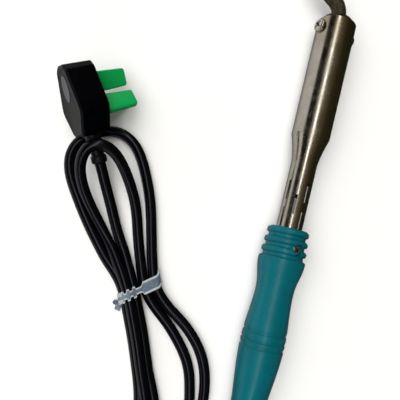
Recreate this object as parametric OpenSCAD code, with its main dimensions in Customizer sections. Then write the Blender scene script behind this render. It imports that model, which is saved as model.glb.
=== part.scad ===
// Mains soldering iron of the externally heated kind: a bent copper bit, clamped by two
// screws in the front collar of a steel barrel, a wire-wound mica heater around the bit,
// a slotted neck, a waisted plastic handle, and a folded cord with a three-pin plug.
// X runs along the iron towards the bit, Z is up. The iron lies on Z = 0, and the origin
// is below the middle of the iron's own box, with the cord and the plug left out.

/* [Bit] */
// Diameter of the copper rod
bit_d = 9; // [6:0.1:11]
// Length of rod inside the barrel and its collar
bit_inside = 65.4; // [56:0.1:66]
// Radius of the bend, at the middle of the rod
bend_r = 13; // [12:1:30]
// Angle of the bend
bend_angle = 55; // [30:1:70]
// Straight length after the bend, with the chisel
bit_straight = 22; // [16:1:40]
// Length of the chisel's two flats
chisel_len = 12; // [8:1:15]
// Thickness of the chisel's edge
chisel_edge = 1.2; // [0.6:0.1:2]

/* [Barrel and neck] */
// Outside diameter of the barrel
barrel_d = 24; // [20:0.5:30]
// Length of the barrel, from its front rim to its shoulder
barrel_len = 72.7; // [68:0.1:105]
// Length of the taper between the barrel and the neck
taper_len = 17.5; // [14:0.5:24]
// Outside diameter of the neck
neck_d = 16.3; // [13.5:0.1:18]
// Length of neck that shows in front of the handle
neck_len = 42; // [36:1:60]
// Length of neck inside the handle
neck_tail = 24; // [20:1:26]
// Wall of the drawn tube
tube_wall = 0.8; // [0.6:0.1:1]

/* [Neck slots] */
// Width of a cooling slot
slot_w = 1.6; // [0.8:0.1:1.8]
// Length of a cooling slot
slot_len = 12.3; // [8:0.1:14]
// Number of slot columns round the neck, an even number
slot_columns = 8; // [6:2:12]
// Distance between the middles of two slots in a column
slot_pitch = 17; // [15:0.5:18]
// Distance from the handle to the middle of a column's first slot
slot_first = 6.6; // [6.2:0.1:8]

/* [Front collar and clamp screws] */
// Length of the collar's cone in front of the barrel
nose_len = 3.2; // [2.6:0.1:6]
// Diameter of the collar's front face
nose_d = 17.5; // [14:0.5:19]
// Length of the collar inside the barrel
spigot_len = 10.5; // [9.5:0.5:12]
// Thread diameter of a clamp screw
clamp_screw_d = 4; // [3:0.5:4]
// Head diameter of a clamp screw
clamp_head_d = 8; // [6:0.5:8]
// Head height of a clamp screw
clamp_head_h = 2.6; // [2:0.1:3]
// Distance from the barrel's rim back to the clamp screws
clamp_back = 5.7; // [5:0.1:6]
// Angle of the first clamp screw from straight up, the other is opposite
clamp_angle = 60; // [45:1:75]

/* [Heater] */
// Wall of the core tube that holds the bit
core_wall = 0.8; // [0.6:0.1:1]
// Wall of the mica former under the winding
former_wall = 1.8; // [1:0.1:2]
// Depth of the winding
winding_h = 1; // [0.8:0.1:1.2]
// Room between the mica wrap and the barrel
wrap_gap = 0.3; // [0.2:0.1:1]
// Distance between two turns of the winding
turn_pitch = 2; // [1.6:0.1:3]
// Thickness of the ceramic disc behind the heater
disc_t = 4; // [3:0.5:5]
// Diameter of a ceramic bead on the heater leads
bead_d = 3.4; // [2.6:0.1:3.6]
// Length of a ceramic bead
bead_len = 5.6; // [4:0.2:8]

/* [Handle] */
// Length of the handle
handle_len = 128; // [106:0.1:155]
// Diameter of the ring at the handle's front
ring_first_d = 26.5; // [25:0.1:28]
// Diameter of the last ring, the handle's widest place
ring_last_d = 29.7; // [29:0.1:32]
// Distance between two rings
ring_pitch = 6.1; // [5.5:0.1:6.5]
// Width of a ring
ring_w = 4.4; // [3.6:0.1:5]
// Depth of the grooves between the rings
ring_depth = 1.6; // [1:0.1:2]
// Diameter of the waist
waist_d = 24; // [23.5:0.1:26]
// Diameter of the swell in the palm
palm_d = 28.3; // [26:0.1:29]
// Diameter at the handle's rear end
tail_d = 20.8; // [19:0.1:22]
// Distance from the handle's front to its fixing screw
fixing_back = 12.4; // [11:0.1:14]
// Angle of the fixing screw from straight up, to the right
fixing_angle = 32; // [20:1:60]

/* [Cord and plug] */
// Diameter of the cord
cord_d = 7; // [5.8:0.1:8.4]
// Length of strain relief outside the handle
relief_len = 30; // [20:1:40]
// Length of the plug's body along the cord
plug_l = 42; // [40:1:48]
// Thickness of the plug's body along the pins
plug_t = 18.5; // [17:0.5:22]
// Width of the plug's body at its widest
plug_w = 33; // [31:1:38]
// Width of a pin
pin_w = 6.4; // [6.2:0.1:6.6]
// Thickness of a pin
pin_t = 1.6; // [1.5:0.1:1.8]
// Length of a pin outside the plug
pin_len = 17.5; // [16:0.5:18]
// Length of a pin cover
cover_len = 21; // [20:0.5:24]

/* [Hidden] */
$fn = 64;

// Clearances
fit = 0.08;          // running fit between pieces that move
seat = 0.05;         // gap round pieces that are pressed or cemented
cut = 1;             // length by which a cutting shape runs past a face

// Stations along X, in front of the handle's front face
shoulder_x = neck_len + taper_len;
rim_x = shoulder_x + barrel_len;
nose_x = rim_x + nose_len;
clamp_x = rim_x - clamp_back;
core_front_x = rim_x - spigot_len - 0.5;
disc_x = shoulder_x + 1;
lead_turn_x = disc_x + disc_t + 1.2;
core_x = lead_turn_x + 1.3;
winding_x = core_x + 5;
winding_end_x = core_front_x - 5;
bit_x = nose_x - bit_inside;
bend_x = nose_x + 1.5;

// Radii
bit_r = bit_d / 2;
forged_r = bit_r - 0.02;             // the straight end, a little thinner than the bend
socket_r = bit_r + fit;
barrel_r = barrel_d / 2;
barrel_in_r = barrel_r - tube_wall;
neck_r = neck_d / 2;
neck_in_r = neck_r - tube_wall;
core_r = socket_r + core_wall;
former_r = core_r + former_wall;
winding_r = former_r + winding_h;
wrap_r = barrel_in_r - wrap_gap;
spigot_r = barrel_in_r - seat;
axis_h = ring_last_d / 2;

// Clamp screw: the shank ends just clear of the bit, the head just clear of the barrel
clamp_tip_r = bit_r + 0.06;
clamp_seat_r = barrel_r + 0.05;

// Wiring
wire_ring_r = neck_in_r - bead_d / 2 - 1.05;   // radius on which leads and wires lie
lead_r = 0.4;
bead_bore_r = lead_r + 0.15;
wire_r = 1;
wire_angles = [0, 120, 240];             // earth, live, neutral, from straight up
block_r = neck_r - 0.35;
block_spigot = 5.5;
block_len = 20.5;
block_hole_r = 1.2;
terminal_d = 3;
terminal_head_d = 5.5;
terminal_head_h = 1.4;
terminal_x = -neck_tail - 14;

// Handle
ring_count = 4;
ring_in = ring_w / 2;                    // middle of the first ring behind the front
shoulder_back = ring_in + (ring_count - 1) * ring_pitch;
waist_back = shoulder_back + 19.5;
palm_back = waist_back + 33.4;
palm_grooves = [-6.8, -1.6, 2.6];        // from the palm's widest place
palm_groove_r = 0.8;
handle_end_r = 1.6;
chamber_r = 9.6;
chamber_x = -handle_len + 28;
chamber_end_r = 8;
chamber_end_x = -handle_len + 12;
relief_bore_r = 6.05;
fixing_d = 3;
fixing_head_d = 6.4;
fixing_head_h = 1.9;
fixing_seat_r = neck_r + 1.6;
fixing_sink_r = 3.8;
cord_r = cord_d / 2;
tail_x = chamber_x + 4;
relief_x = -handle_len - relief_len;

// Box of the iron alone, whose middle is the origin
edge_h = chisel_edge / 2;
tip_x = bend_x + bend_r * sin(bend_angle) + bit_straight * cos(bend_angle)
    + edge_h * sin(bend_angle);
tip_y = bend_r * (1 - cos(bend_angle)) + bit_straight * sin(bend_angle)
    + edge_h * cos(bend_angle);
mid_x = (tip_x + relief_x) / 2;
mid_y = (tip_y - axis_h) / 2;

// Plug: its middle, in the iron's stations, and how it lies
plug_at = [47, 141.5, 26.6];
plug_rot = [-30, 19, 205];
earth_x = -8.5;                          // earth pin, from the plug's middle
pair_x = 5;                              // live and neutral pins
pair_w = 6.9;
splay = 30;
pin_inside = 8;
cover_gap = 0.3;
cover_base_w = 12.4;
cover_tip_w = 10.4;
cover_t = 4.2;
cover_corner = 1.3;                      // cut off the corners of its closed end
plug_relief_len = 18;
plug_collar_len = 5;

// Hank: its tie is the origin of its own plan, with the fold's length along the first
// number. The plan's outline is the outside of the cord's loops.
tie_at = [-60, 84];
hank_turn = 24;
tie_w = 7.4;
tie_t = 1.2;
top_loop = [81.5, 6.5, 27.5];            // middle and radius of the round ends
low_loop = [-78, -7, 28];
hank_plan = [[78, 34], [56, 31], [34, 24.5], [10, 15.5], [-30, 15], [-60, 17],
    [-92, 24.8], [-92, 17.2], [-84, 10], [-84, -34], [-66, -34.8], [-50, -35],
    [-36, -31.5], [-20, -24.5], [-8, -16.5], [8, -13.5], [34, -17.5], [56, -21],
    [78, -21]];
upper_plan = [[-72, 4.5], [-72, 11.5], [0, 11], [30, 15.5], [30, 9], [0, 3.5]];
layer_h = cord_d * sqrt(3) / 2;          // height between two layers of cord
tie_strands = [for (s = [[1.5, 0], [0.5, 0], [-0.5, 0], [-1.5, 0], [1, 1]])
    [s[0] * cord_d, s[1] * layer_h]];

// Middle line of the cord, from the iron to the hank and from the plug to the hank. The
// cord, the hank and the plug keep their places behind the end of the strain relief.
cord_exit_x = -158;
lead_route = [[cord_exit_x, 0, axis_h], [-166, 0, 13.6], [-174, 1, 11.2], [-184, 4, 7.6],
    [-193, 10, 4.6], [-199, 19, 3.6], [-201, 30, 3.5], [-198, 41, 3.5],
    [-190, 51, 3.5], [-179, 58, 3.5], [-166, 63, 3.5], [-153, 65.5, 3.5]];
plug_route = [[13.5, 125.9, 13.9], [9, 123.8, 12.1], [4, 121.7, 10.2], [-1, 119.4, 8.6],
    [-6, 116.8, 7.4]];
tube_sides = 10;

// Rounds a curve through points: one cubic per span, with the neighbours' slope
function slope(p, i) = (p[min(i + 1, len(p) - 1)] - p[max(i - 1, 0)])
    / (i > 0 && i < len(p) - 1 ? 2 : 1);
function along(p, i, t) = let (a = p[i], b = p[i + 1], u = slope(p, i), v = slope(p, i + 1))
    (2 * t * t * t - 3 * t * t + 1) * a + (t * t * t - 2 * t * t + t) * u
    + (3 * t * t - 2 * t * t * t) * b + (t * t * t - t * t) * v;
function curve(p) = concat([for (i = [0 : len(p) - 2], t = [0, 0.5]) along(p, i, t)],
    [p[len(p) - 1]]);
function unit(v) = v / norm(v);
function ring(c, d, r) = let (s = unit(cross(d, [0, 0, 1])), t = cross(s, d))
    [for (k = [0 : tube_sides - 1]) c + r * (cos(360 * k / tube_sides) * s
        + sin(360 * k / tube_sides) * t)];

// A closed round tube swept along a list of points
module tube(p, r) {
    n = len(p);
    m = tube_sides;
    points = [for (i = [0 : n - 1]) each ring(p[i],
        unit(p[min(i + 1, n - 1)] - p[max(i - 1, 0)]), r)];
    sides = [for (i = [0 : n - 2], k = [0 : m - 1])
        [i * m + k, i * m + (k + 1) % m, (i + 1) * m + (k + 1) % m, (i + 1) * m + k]];
    polyhedron(points, concat([[for (k = [m - 1 : -1 : 0]) k]], sides,
        [[for (k = [0 : m - 1]) (n - 1) * m + k]]), convexity = 4);
}

// Places: iron parts on their axis, cord parts on the floor, plug parts in the plug
module on_axis() translate([-mid_x, -mid_y, axis_h]) children();
module on_floor() translate([relief_x - cord_exit_x - mid_x, -mid_y, 0]) children();
module in_hank() on_floor() translate(tie_at) rotate([0, 0, hank_turn]) children();
module in_plug() on_floor() translate(plug_at) rotate(plug_rot) children();

// A solid of revolution about X, from a list of [x, radius] points
module turned(p) rotate([0, 90, 0]) rotate_extrude()
    polygon([for (q = p) [q[1], q[0]]]);
// A plain rod or ring along X
module rod(x0, x1, r) translate([x0, 0, 0]) rotate([0, 90, 0]) cylinder(h = x1 - x0, r = r);
module sleeve(x0, x1, r, hole) difference() {
    rod(x0, x1, r);
    rod(x0 - cut, x1 + cut, hole);
}
// Something that points away from the axis, at an angle from straight up towards +Y
module radial(x, angle) translate([x, 0, 0]) rotate([-angle, 0, 0]) children();
module at_wire(angle) rotate([angle, 0, 0]) translate([0, 0, wire_ring_r]) children();

// A cross recess, cut down from z = 0
module cross_recess(d, depth) for (a = [45, 135]) rotate([0, 0, a])
    translate([-d / 2, -d / 12, -depth]) cube([d, d / 6, depth + cut]);

// A pan-head screw along Z, with its head's underside at z = 0
module pan_screw(d, head_d, head_h, shank) {
    translate([0, 0, -shank]) cylinder(h = shank, d = d);
    difference() {
        union() {
            cylinder(h = head_h * 0.6, d = head_d);
            translate([0, 0, head_h * 0.6])
                cylinder(h = head_h * 0.4, d1 = head_d, d2 = head_d * 0.72);
        }
        translate([0, 0, head_h]) cross_recess(head_d * 0.56, head_h * 0.5);
    }
}

// --- Bit and its clamp ---

module bit() color([0.27, 0.26, 0.17]) on_axis() {
    rod(bit_x, bend_x, bit_r);
    translate([bend_x, bend_r, 0]) rotate([0, 0, -90])
        rotate_extrude(angle = bend_angle) translate([bend_r, 0]) circle(r = bit_r);
    translate([bend_x + bend_r * sin(bend_angle), bend_r * (1 - cos(bend_angle)), 0])
        rotate([0, 0, bend_angle]) difference() {
            rod(-0.05, bit_straight, forged_r);
            for (side = [-1, 1]) chisel_flat(side);
        }
}
// The wedge cut away on one side of the chisel
module chisel_flat(side) let (x = bit_straight - chisel_len, far = bit_r * 2)
    translate([0, 0, -far]) linear_extrude(2 * far)
        polygon([[x, side * (bit_r + 0.01)], [bit_straight + 0.01, side * edge_h],
            [bit_straight + cut, side * edge_h], [bit_straight + cut, side * far],
            [x, side * far]]);

module front_collar() color([0.55, 0.52, 0.46]) on_axis() difference() {
    turned([[rim_x - spigot_len, socket_r], [rim_x - spigot_len, spigot_r],
        [rim_x, spigot_r], [rim_x, barrel_r], [nose_x, nose_d / 2], [nose_x, socket_r]]);
    for (a = [clamp_angle, clamp_angle + 180]) radial(clamp_x, a)
        cylinder(h = barrel_r + cut, d = clamp_screw_d + 2 * fit);
}

module clamp_screw(angle) color([0.62, 0.6, 0.57]) on_axis() radial(clamp_x, angle)
    translate([0, 0, clamp_seat_r])
        pan_screw(clamp_screw_d, clamp_head_d, clamp_head_h, clamp_seat_r - clamp_tip_r);
module clamp_screw_left() clamp_screw(clamp_angle);
module clamp_screw_right() clamp_screw(clamp_angle + 180);

// --- Barrel: one drawn tube with the taper, the neck and its slots ---

taper_steps = 8;
function taper_r(t, small, big) = small + (big - small) * pow(1 - t, 1.45);
function taper(small, big) = [for (i = [0 : taper_steps]) let (t = i / taper_steps)
    [shoulder_x - t * taper_len, taper_r(t, small, big)]];

module barrel() color([0.6, 0.57, 0.51]) on_axis() difference() {
    turned(concat([[rim_x, barrel_in_r], [rim_x, barrel_r]], taper(neck_r, barrel_r),
        [[-neck_tail, neck_r], [-neck_tail, neck_in_r]],
        [for (i = [taper_steps : -1 : 0]) taper(neck_in_r, barrel_in_r)[i]]));
    for (a = [clamp_angle, clamp_angle + 180]) radial(clamp_x, a)
        cylinder(h = barrel_r + cut, d = clamp_screw_d + 0.4);
    radial(-fixing_back, -fixing_angle) cylinder(h = neck_r + cut, d = fixing_d + 2 * seat);
    for (k = [0 : slot_columns - 1]) neck_slots(k);
}
// Columns take turns: two slots, then one slot half a pitch on
module neck_slots(k) for (i = [0 : 1 - k % 2])
    radial(slot_first + slot_pitch * (i + (k % 2) / 2), 55 + 360 * k / slot_columns)
        translate([-slot_len / 2, -slot_w / 2, 0]) cube([slot_len, slot_w, neck_r + cut]);

// --- Heater ---

module core_tube() color([0.5, 0.5, 0.5]) on_axis()
    sleeve(core_x, core_front_x, core_r, socket_r);

module mica_former() color([0.78, 0.7, 0.5]) on_axis()
    sleeve(core_x + 2, core_front_x - 2, former_r, core_r + 0.01);

module heater_winding() color([0.45, 0.42, 0.4]) on_axis() {
    turns = floor((winding_end_x - winding_x) / turn_pitch);
    base_r = former_r + 0.01;
    web_r = former_r + winding_h * 0.3;
    turned(concat([[winding_x + turns * turn_pitch, base_r], [winding_x, base_r]],
        [for (i = [0 : turns - 1]) let (x = winding_x + i * turn_pitch) each
            [[x, winding_r - 0.01], [x + turn_pitch / 2, winding_r - 0.01],
                [x + turn_pitch / 2, web_r], [x + turn_pitch, web_r]]]));
}

module mica_wrap() color([0.8, 0.74, 0.56]) on_axis()
    sleeve(core_x + 2, core_front_x - 2, wrap_r, winding_r);

module ceramic_disc() color([0.92, 0.9, 0.84]) on_axis() difference() {
    rod(disc_x, disc_x + disc_t, barrel_in_r - seat);
    for (a = [wire_angles[1], wire_angles[2]]) at_wire(a)
        rod(disc_x - cut, disc_x + disc_t + cut, lead_r + seat);
}

// A bare lead: from its terminal up the neck, then out to the winding
module heater_lead(angle) color([0.7, 0.69, 0.66]) on_axis() at_wire(angle) {
    out = former_r + winding_h / 2 - wire_ring_r;
    rod(terminal_x + 2, lead_turn_x, lead_r);
    translate([lead_turn_x, 0, 0]) {
        sphere(r = lead_r);
        cylinder(h = out, r = lead_r);
        translate([0, 0, out]) {
            sphere(r = lead_r);
            rod(0, winding_x - lead_turn_x, lead_r);
        }
    }
}
module lead_live() heater_lead(wire_angles[1]);
module lead_neutral() heater_lead(wire_angles[2]);

module ceramic_beads() color([0.93, 0.92, 0.88]) on_axis() {
    first_x = -neck_tail + block_spigot + 0.3;
    step = bead_len + 0.2;
    count = floor((disc_x - first_x) / step);
    for (a = [wire_angles[1], wire_angles[2]], i = [0 : count - 1])
        at_wire(a) sleeve(first_x + i * step, first_x + i * step + bead_len,
            bead_d / 2, bead_bore_r);
}

// --- Handle ---

// Half a cosine wave between two radii
function ease(a, b, t) = a + (b - a) * (1 - cos(180 * t)) / 2;
function ease_points(x0, r0, x1, r1, n) = [for (i = [1 : n])
    [-(x0 + (x1 - x0) * i / n), ease(r0, r1, i / n)]];
function ring_r(i) = (ring_first_d + (ring_last_d - ring_first_d) * i / (ring_count - 1)) / 2;
function ring_points(i) = let (x = ring_in + i * ring_pitch, h = ring_w / 2, r = ring_r(i))
    [[-(x - h), r - ring_depth], [-(x - h + 0.2), r - 0.6], [-(x - h + 0.9), r],
        [-(x + h - 1.1), r], [-(x + h - 0.3), r - 0.5], [-(x + h), r - ring_depth]];

module handle() color([0.01, 0.38, 0.44]) on_axis() difference() {
    turned(concat([[0, neck_r + seat]],
        [for (i = [0 : ring_count - 2]) each ring_points(i)],
        [for (j = [0 : 2]) ring_points(ring_count - 1)[j]],
        ease_points(shoulder_back, axis_h, waist_back, waist_d / 2, 12),
        ease_points(waist_back, waist_d / 2, palm_back, palm_d / 2, 14),
        ease_points(palm_back, palm_d / 2, handle_len - handle_end_r, tail_d / 2, 14),
        [[-handle_len + 0.4, tail_d / 2 - 0.6], [-handle_len, tail_d / 2 - handle_end_r],
            [-handle_len, relief_bore_r], [chamber_end_x, relief_bore_r],
            [chamber_end_x, chamber_end_r], [chamber_x - 4, chamber_end_r],
            [chamber_x, chamber_r], [-neck_tail - seat, chamber_r],
            [-neck_tail - seat, neck_r + seat]]));
    for (x = palm_grooves) translate([-(palm_back + x), 0, 0]) rotate([0, 90, 0])
        rotate_extrude() translate([palm_d / 2 + 0.1, 0]) circle(r = palm_groove_r);
    radial(-fixing_back, -fixing_angle) {
        cylinder(h = axis_h, d = fixing_d + 2 * seat);
        translate([0, 0, fixing_seat_r]) cylinder(h = axis_h, r = fixing_sink_r);
    }
}

module handle_screw() color([0.8, 0.79, 0.76]) on_axis() radial(-fixing_back, -fixing_angle)
    translate([0, 0, fixing_seat_r])
        pan_screw(fixing_d, fixing_head_d, fixing_head_h, fixing_seat_r - neck_in_r + 0.7);

// --- Wiring inside the handle ---

module terminal_block() color([0.9, 0.88, 0.82]) on_axis() difference() {
    union() {
        rod(-neck_tail, -neck_tail + block_spigot, neck_in_r - seat);
        rod(-neck_tail - block_len, -neck_tail, block_r);
    }
    for (a = wire_angles) {
        at_wire(a) rod(-neck_tail - block_len - cut, -neck_tail + block_spigot + cut,
            block_hole_r);
        radial(terminal_x, -a) translate([0, 0, wire_ring_r])
            cylinder(h = block_r, d = terminal_d + 2 * seat);
    }
}

module terminal_screws() color([0.78, 0.62, 0.3]) on_axis() for (a = wire_angles)
    radial(terminal_x, -a) translate([0, 0, block_r + 0.02])
        pan_screw(terminal_d, terminal_head_d, terminal_head_h,
            block_r - wire_ring_r - wire_r - 0.05);

// From the earth terminal through the block, up to the inside of the neck
module earth_strip() color([0.75, 0.73, 0.7]) on_axis() {
    w = 1.8;
    t = 0.5;
    step_x = -neck_tail + block_spigot + 0.8;
    translate([terminal_x + 2, -w / 2, wire_ring_r - t / 2])
        cube([step_x - terminal_x - 2 + t, w, t]);
    translate([step_x, -w / 2, wire_ring_r - t / 2])
        cube([t, w, neck_in_r - 0.12 - wire_ring_r + t / 2]);
    translate([step_x, -w / 2, neck_in_r - 0.12 - t]) cube([8, w, t]);
}

// An insulated core of the cord, from the end of the sheath to its terminal
module cord_wire(angle, tint) color(tint) on_axis() rotate([angle, 0, 0]) {
    x0 = tail_x + 0.1;
    x1 = -neck_tail - block_len - 2;
    from = [x0, 0, 1.9];
    to = [x1, 0, wire_ring_r];
    span = to - from;
    translate(from) rotate([0, 90 - atan2(span[2], span[0]), 0])
        cylinder(h = norm(span), r = wire_r);
    translate([0, 0, wire_ring_r]) rod(x1 - 1, terminal_x - 2, wire_r - 0.02);
}
module wire_earth() cord_wire(wire_angles[0], [0.55, 0.7, 0.1]);
module wire_live() cord_wire(wire_angles[1], [0.4, 0.2, 0.1]);
module wire_neutral() cord_wire(wire_angles[2], [0.1, 0.3, 0.7]);

module cord_tail() color([0.08, 0.08, 0.09]) on_axis() rod(relief_x, tail_x, cord_r);

module crimp_ring() color([0.7, 0.7, 0.7]) on_axis()
    sleeve(chamber_end_x + 4, chamber_end_x + 9, cord_r + 1.1, cord_r + seat);

module strain_relief() color([0.07, 0.07, 0.08]) on_axis() turned([
    [chamber_end_x + 2.5, cord_r + seat], [chamber_end_x + 2.5, relief_bore_r + 1.4],
    [chamber_end_x + seat, relief_bore_r + 1.4], [chamber_end_x + seat, relief_bore_r - seat],
    [-handle_len - seat, relief_bore_r - seat], [-handle_len - seat, relief_bore_r + 1],
    [-handle_len - 3, relief_bore_r + 1], [-handle_len - 3.5, relief_bore_r - 0.2],
    [relief_x, cord_r + 0.8], [relief_x, cord_r + seat]]);

// --- Cord, hank and tie ---

module cord_lead() color([0.08, 0.08, 0.09]) on_floor() tube(curve(lead_route), cord_r);

module cord_plug_end() color([0.08, 0.08, 0.09]) on_floor() tube(curve(plug_route), cord_r);

module hank_outline() {
    polygon(hank_plan);
    for (c = [top_loop, low_loop]) translate([c[0], c[1]]) circle(r = c[2]);
}

module cord_hank() color([0.1, 0.1, 0.11]) in_hank() difference() {
    union() {
        linear_extrude(cord_d) hank_outline();
        translate([0, 0, cord_d]) linear_extrude(layer_h + 0.3) polygon(upper_plan);
    }
    translate([-tie_w, -30, -cut]) cube([2 * tie_w, 60, cut + tie_t + seat]);
    translate([-tie_w / 2 - 0.3, 0, 0]) tie_gap();
}
// The room that the tie takes round the strands
module tie_gap() rotate([90, 0, 90]) linear_extrude(tie_w + 0.6) difference() {
    translate([-30, -cut]) square([60, 30]);
    strand_hull(seat);
}
// The taut line round the strands, with something added all round
module strand_hull(more) hull() for (s = tie_strands)
    translate([s[0], cord_r + tie_t + seat + s[1]]) circle(r = cord_r + more, $fn = 32);

module cable_tie() color([0.8, 0.83, 0.86]) in_hank() translate([-tie_w / 2, 0, 0])
    rotate([90, 0, 90]) linear_extrude(tie_w) intersection() {
        difference() {
            strand_hull(tie_t + seat);
            strand_hull(seat);
        }
        translate([-30, 0]) square([60, 30]);
    }

// --- Plug: X along the cord, Y along the pins, Z across ---

plug_plan = [[-plug_l / 2, -5], [-plug_l / 2, 5], [-plug_l / 2 + 3, 8.5],
    [plug_l * 0.03, plug_w / 2 - 1], [plug_l * 0.13, plug_w / 2],
    [plug_l * 0.22, plug_w / 2 - 1.5], [plug_l / 2, 7.8], [plug_l / 2, -7.8],
    [plug_l * 0.22, -plug_w / 2 + 1.5], [plug_l * 0.13, -plug_w / 2],
    [plug_l * 0.03, -plug_w / 2 + 1], [-plug_l / 2 + 3, -8.5]];
pin_places = [[earth_x, 0, 0], [pair_x, -pair_w, splay], [pair_x, pair_w, -splay]];
bridge_y = [plug_t / 2 - 6.5, plug_t / 2 - 2.5];
bridge_plan = [[-13, -6.5], [-13, 6.5], [1, 11], [11, 11], [11, -11], [1, -11]];

// Puts a pin's own frame in the plug
module at_pin(p) translate([p[0], 0, p[1]]) rotate([0, p[2], 0]) children();
// A blade along Y, with something added all round
module blade(y0, y1, more) translate([-pin_w / 2 - more, y0, -pin_t / 2 - more])
    cube([pin_w + 2 * more, y1 - y0, pin_t + 2 * more]);

module plug_body() color([0.05, 0.05, 0.06]) in_plug() difference() {
    rotate([90, 0, 0]) linear_extrude(plug_t, center = true) polygon(plug_plan);
    for (p = pin_places) at_pin(p) blade(plug_t / 2 - pin_inside - seat, plug_t / 2 + cut, seat);
    bridge(seat);
}

// The hard insert, with something added all round
module bridge(more) translate([0, bridge_y[1] + more, 0]) rotate([90, 0, 0])
    linear_extrude(bridge_y[1] - bridge_y[0] + 2 * more)
        polygon([for (q = bridge_plan) q + more * [sign(q[0]), sign(q[1])]]);

module plug_bridge() color([0.85, 0.83, 0.78]) in_plug() difference() {
    bridge(0);
    for (p = pin_places) at_pin(p) blade(0, plug_t, seat);
}

module plug_relief() color([0.06, 0.06, 0.07]) in_plug() translate([plug_l / 2 + 0.02, 0, 0])
    turned([[0, 0], [0, cord_r + 1.7], [plug_relief_len - plug_collar_len, cord_r + 0.5],
        [plug_relief_len - plug_collar_len, cord_r + 1.3], [plug_relief_len, cord_r + 1.1],
        [plug_relief_len, 0]]);

module pin(p) color([0.78, 0.7, 0.45]) in_plug() at_pin(p)
    blade(plug_t / 2 - pin_inside, plug_t / 2 + pin_len, 0);
module pin_earth() pin(pin_places[0]);
module pin_live() pin(pin_places[1]);
module pin_neutral() pin(pin_places[2]);

// A push-on cover, narrower towards its closed end
module cover(p) color([0, 0.6, 0.28]) in_plug() at_pin(p) difference() {
    translate([0, plug_t / 2 + cover_gap, -cover_t / 2]) linear_extrude(cover_t)
        polygon([[-cover_base_w / 2, 0], [-cover_tip_w / 2, cover_len - cover_corner],
            [-cover_tip_w / 2 + cover_corner, cover_len],
            [cover_tip_w / 2 - cover_corner, cover_len],
            [cover_tip_w / 2, cover_len - cover_corner], [cover_base_w / 2, 0]]);
    blade(plug_t / 2 - cut, plug_t / 2 + pin_len + 0.5, 0.1);
}
module cover_earth() cover(pin_places[0]);
module cover_live() cover(pin_places[1]);
module cover_neutral() cover(pin_places[2]);

bit();
front_collar();
clamp_screw_left();
clamp_screw_right();
barrel();
core_tube();
mica_former();
heater_winding();
mica_wrap();
ceramic_disc();
lead_live();
lead_neutral();
ceramic_beads();
handle();
handle_screw();
terminal_block();
terminal_screws();
earth_strip();
wire_live();
wire_neutral();
wire_earth();
crimp_ring();
cord_tail();
strain_relief();
cord_lead();
cord_hank();
cable_tie();
cord_plug_end();
plug_body();
plug_bridge();
plug_relief();
pin_earth();
pin_live();
pin_neutral();
cover_earth();
cover_live();
cover_neutral();
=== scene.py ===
"""Looks of the soldering iron: a studio, the folded cord, and every piece's own mesh or material.

Lengths in the tables are in millimetres. Stations u run along +X from the handle's front face,
v is across from the iron's axis, z is up from the floor.
"""
import math

import bmesh
import bpy
import numpy as np
from mathutils import Matrix, Vector, noise


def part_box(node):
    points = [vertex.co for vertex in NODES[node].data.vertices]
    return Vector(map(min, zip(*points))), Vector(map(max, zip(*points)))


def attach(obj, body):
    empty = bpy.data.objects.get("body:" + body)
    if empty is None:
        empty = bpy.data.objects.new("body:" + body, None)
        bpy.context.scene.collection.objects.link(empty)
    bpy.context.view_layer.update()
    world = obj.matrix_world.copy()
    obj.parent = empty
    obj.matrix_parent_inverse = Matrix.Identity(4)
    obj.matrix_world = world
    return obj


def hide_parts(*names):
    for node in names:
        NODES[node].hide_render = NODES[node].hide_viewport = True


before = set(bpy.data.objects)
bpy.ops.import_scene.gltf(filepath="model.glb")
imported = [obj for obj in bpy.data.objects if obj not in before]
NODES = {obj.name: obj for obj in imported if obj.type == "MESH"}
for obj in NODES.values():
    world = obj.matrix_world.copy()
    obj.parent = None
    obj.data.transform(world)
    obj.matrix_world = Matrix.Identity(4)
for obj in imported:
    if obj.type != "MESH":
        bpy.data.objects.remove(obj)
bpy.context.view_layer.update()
MM = 0.001

_lo, _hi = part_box("handle")
FRONT, AXIS_Y, AXIS_Z = _hi.x, (_lo.y + _hi.y) / 2, (_lo.z + _hi.z) / 2
SCENE = bpy.context.scene


def spot(u, v, z):
    """A place given in stations and millimetres, in the row frame."""
    return Vector((FRONT + u * MM, AXIS_Y + v * MM, z * MM))


# --- Camera: straight down, its lens shifted ---

CAMERA_AT = (-25.7, 51.6, 318)
CAMERA_TURN = math.radians(-76.8)
camera = bpy.data.objects.new("camera", bpy.data.cameras.new("camera"))
SCENE.collection.objects.link(camera)
camera.location = spot(*CAMERA_AT)
camera.rotation_euler = (0, 0, CAMERA_TURN)
camera.data.sensor_width = 36
camera.data.lens = 43.2
camera.data.shift_y = 0.125
camera.data.clip_start, camera.data.clip_end = 0.01, 20
SCENE.camera = camera


# --- Mesh helpers ---

def finish_mesh(name, verts, faces, sharp=40, uv=None):
    """A linked object with outward normals, smooth but for edges sharper than that angle."""
    bm = bmesh.new()
    points = [bm.verts.new(Vector(v)) for v in verts]
    layer = bm.loops.layers.uv.new("UVMap") if uv is not None else None
    for face in faces:
        made = bm.faces.new([points[i] for i in face])
        made.smooth = True
        if layer:
            for loop, i in zip(made.loops, face):
                loop[layer].uv = uv[i]
    bmesh.ops.recalc_face_normals(bm, faces=bm.faces)
    return from_bmesh(name, bm, sharp)


def from_bmesh(name, bm, sharp=40):
    limit = math.radians(sharp)
    for edge in bm.edges:
        edge.smooth = len(edge.link_faces) != 2 or edge.calc_face_angle(0) < limit
    for face in bm.faces:
        face.smooth = True
    mesh = bpy.data.meshes.new(name)
    bm.to_mesh(mesh)
    bm.free()
    made = bpy.data.objects.new(name, mesh)
    SCENE.collection.objects.link(made)
    return made


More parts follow.
